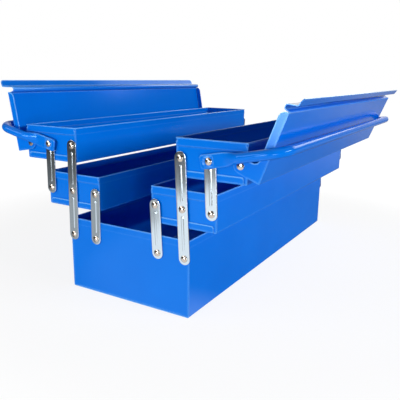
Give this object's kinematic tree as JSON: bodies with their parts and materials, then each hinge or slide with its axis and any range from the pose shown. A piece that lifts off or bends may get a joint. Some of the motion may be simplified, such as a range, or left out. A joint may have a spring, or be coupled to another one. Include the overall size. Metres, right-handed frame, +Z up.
{
  "type": "cantilever tool box",
  "caption": "Steel cantilever tool box, half unfolded: a deep lower box, folding trays on riveted side links, hinged lids with gutters and lips, and tubular carrying handles.",
  "frame": {"origin": "centre of the lower box's underside", "axes": "+X along the box, +Y across it towards the rear trays, +Z up"},
  "size_m": [0.564, 0.4675, 0.294],
  "materials": {
    "blue_paint": "glossy blue powder coat",
    "plated_steel": "bright zinc plate"
  },
  "bodies": {
    "box": {"box_body": "blue_paint", "box_end_left": "blue_paint", "box_end_right": "blue_paint", "box_rivets": "plated_steel"},
    "front_middle": {"front_middle_tray": "blue_paint", "front_middle_tray_end_left": "blue_paint", "front_middle_tray_end_right": "blue_paint", "front_middle_rivets": "plated_steel"},
    "front_top": {"front_top_tray": "blue_paint", "front_top_tray_end_left": "blue_paint", "front_top_tray_end_right": "blue_paint", "front_top_rivets": "plated_steel", "front_lid_rivets": "plated_steel"},
    "front_lid_body": {"front_lid": "blue_paint"},
    "front_handle_body": {"front_handle": "blue_paint"},
    "front_long_left": {"front_long_link_left": "plated_steel"},
    "front_lower_left": {"front_lower_link_left": "plated_steel"},
    "front_upper_left": {"front_upper_link_left": "plated_steel"},
    "front_long_right": {"front_long_link_right": "plated_steel"},
    "front_lower_right": {"front_lower_link_right": "plated_steel"},
    "front_upper_right": {"front_upper_link_right": "plated_steel"},
    "rear_middle": {"rear_middle_tray": "blue_paint", "rear_middle_tray_end_left": "blue_paint", "rear_middle_tray_end_right": "blue_paint", "rear_middle_rivets": "plated_steel"},
    "rear_top": {"rear_top_tray": "blue_paint", "rear_top_tray_end_left": "blue_paint", "rear_top_tray_end_right": "blue_paint", "rear_top_rivets": "plated_steel", "rear_lid_rivets": "plated_steel"},
    "rear_lid_body": {"rear_lid": "blue_paint"},
    "rear_handle_body": {"rear_handle": "blue_paint"},
    "rear_long_left": {"rear_long_link_left": "plated_steel"},
    "rear_lower_left": {"rear_lower_link_left": "plated_steel"},
    "rear_upper_left": {"rear_upper_link_left": "plated_steel"},
    "rear_long_right": {"rear_long_link_right": "plated_steel"},
    "rear_lower_right": {"rear_lower_link_right": "plated_steel"},
    "rear_upper_right": {"rear_upper_link_right": "plated_steel"}
  },
  "joints": [
    {"name": "front_fold", "type": "hinge", "parent": "box", "child": "front_long_left", "pos_m": [-0.266, -0.0936, 0.0806], "axis": [1, 0, 0], "range_deg": [-37.07, 43.2]},
    {"name": "front_long_link_right_turn", "type": "hinge", "parent": "box", "child": "front_long_right", "pos_m": [0.266, -0.0936, 0.0806], "axis": [1, 0, 0], "range_deg": [-37.07, 43.2]},
    {"name": "front_lower_link_left_turn", "type": "hinge", "parent": "box", "child": "front_lower_left", "pos_m": [-0.266, -0.0524, 0.0806], "axis": [1, 0, 0], "range_deg": [-37.07, 43.2]},
    {"name": "front_lower_link_right_turn", "type": "hinge", "parent": "box", "child": "front_lower_right", "pos_m": [0.266, -0.0524, 0.0806], "axis": [1, 0, 0], "range_deg": [-37.07, 43.2]},
    {"name": "front_middle_tray_turn", "type": "hinge", "parent": "front_long_left", "child": "front_middle", "pos_m": [0, -0.09015, 0.14437], "axis": [1, 0, 0], "range_deg": [-43.2, 37.07]},
    {"name": "front_top_tray_turn", "type": "hinge", "parent": "front_long_left", "child": "front_top", "pos_m": [0, -0.08669, 0.20814], "axis": [1, 0, 0], "range_deg": [-43.2, 37.07]},
    {"name": "front_upper_link_left_turn", "type": "hinge", "parent": "front_middle", "child": "front_upper_left", "pos_m": [-0.266, -0.13135, 0.14437], "axis": [1, 0, 0], "range_deg": [-37.07, 43.2]},
    {"name": "front_upper_link_right_turn", "type": "hinge", "parent": "front_middle", "child": "front_upper_right", "pos_m": [0.266, -0.13135, 0.14437], "axis": [1, 0, 0], "range_deg": [-37.07, 43.2]},
    {"name": "front_lid_hinge", "type": "hinge", "parent": "front_top", "child": "front_lid_body", "pos_m": [0, -0.16719, 0.20625], "axis": [1, 0, 0], "range_deg": [-110.7, 0]},
    {"name": "front_handle_hinge", "type": "hinge", "parent": "front_top", "child": "front_handle_body", "pos_m": [0, -0.12789, 0.20814], "axis": [1, 0, 0], "range_deg": [-107.39, 0]},
    {"name": "rear_fold", "type": "hinge", "parent": "box", "child": "rear_long_left", "pos_m": [-0.266, 0.0936, 0.0806], "axis": [-1, 0, 0], "range_deg": [-39.12, 41.15]},
    {"name": "rear_long_link_right_turn", "type": "hinge", "parent": "box", "child": "rear_long_right", "pos_m": [0.266, 0.0936, 0.0806], "axis": [-1, 0, 0], "range_deg": [-39.12, 41.15]},
    {"name": "rear_lower_link_left_turn", "type": "hinge", "parent": "box", "child": "rear_lower_left", "pos_m": [-0.266, 0.0524, 0.0806], "axis": [-1, 0, 0], "range_deg": [-39.12, 41.15]},
    {"name": "rear_lower_link_right_turn", "type": "hinge", "parent": "box", "child": "rear_lower_right", "pos_m": [0.266, 0.0524, 0.0806], "axis": [-1, 0, 0], "range_deg": [-39.12, 41.15]},
    {"name": "rear_middle_tray_turn", "type": "hinge", "parent": "rear_long_left", "child": "rear_middle", "pos_m": [0, 0.09243, 0.14446], "axis": [-1, 0, 0], "range_deg": [-41.15, 39.12]},
    {"name": "rear_top_tray_turn", "type": "hinge", "parent": "rear_long_left", "child": "rear_top", "pos_m": [0, 0.09126, 0.20831], "axis": [-1, 0, 0], "range_deg": [-41.15, 39.12]},
    {"name": "rear_upper_link_left_turn", "type": "hinge", "parent": "rear_middle", "child": "rear_upper_left", "pos_m": [-0.266, 0.13363, 0.14446], "axis": [-1, 0, 0], "range_deg": [-39.12, 41.15]},
    {"name": "rear_upper_link_right_turn", "type": "hinge", "parent": "rear_middle", "child": "rear_upper_right", "pos_m": [0.266, 0.13363, 0.14446], "axis": [-1, 0, 0], "range_deg": [-39.12, 41.15]},
    {"name": "rear_lid_hinge", "type": "hinge", "parent": "rear_top", "child": "rear_lid_body", "pos_m": [0, 0.17176, 0.20641], "axis": [-1, 0, 0], "range_deg": [-100, 10]},
    {"name": "rear_handle_hinge", "type": "hinge", "parent": "rear_top", "child": "rear_handle_body", "pos_m": [0, 0.13246, 0.20831], "axis": [-1, 0, 0], "range_deg": [-106.39, 10.64]}
  ],
  "couplings": [
    {"joint": "front_long_link_right_turn", "follows": "front_fold", "ratio": 1},
    {"joint": "front_lower_link_left_turn", "follows": "front_fold", "ratio": 1},
    {"joint": "front_lower_link_right_turn", "follows": "front_fold", "ratio": 1},
    {"joint": "front_middle_tray_turn", "follows": "front_fold", "ratio": -1},
    {"joint": "front_top_tray_turn", "follows": "front_fold", "ratio": -1},
    {"joint": "front_upper_link_left_turn", "follows": "front_fold", "ratio": 1},
    {"joint": "front_upper_link_right_turn", "follows": "front_fold", "ratio": 1},
    {"joint": "front_handle_hinge", "follows": "front_lid_hinge", "ratio": 0.97012},
    {"joint": "rear_long_link_right_turn", "follows": "rear_fold", "ratio": 1},
    {"joint": "rear_lower_link_left_turn", "follows": "rear_fold", "ratio": 1},
    {"joint": "rear_lower_link_right_turn", "follows": "rear_fold", "ratio": 1},
    {"joint": "rear_middle_tray_turn", "follows": "rear_fold", "ratio": -1},
    {"joint": "rear_top_tray_turn", "follows": "rear_fold", "ratio": -1},
    {"joint": "rear_upper_link_left_turn", "follows": "rear_fold", "ratio": 1},
    {"joint": "rear_upper_link_right_turn", "follows": "rear_fold", "ratio": 1},
    {"joint": "rear_handle_hinge", "follows": "rear_lid_hinge", "ratio": 1.0639}
  ]
}
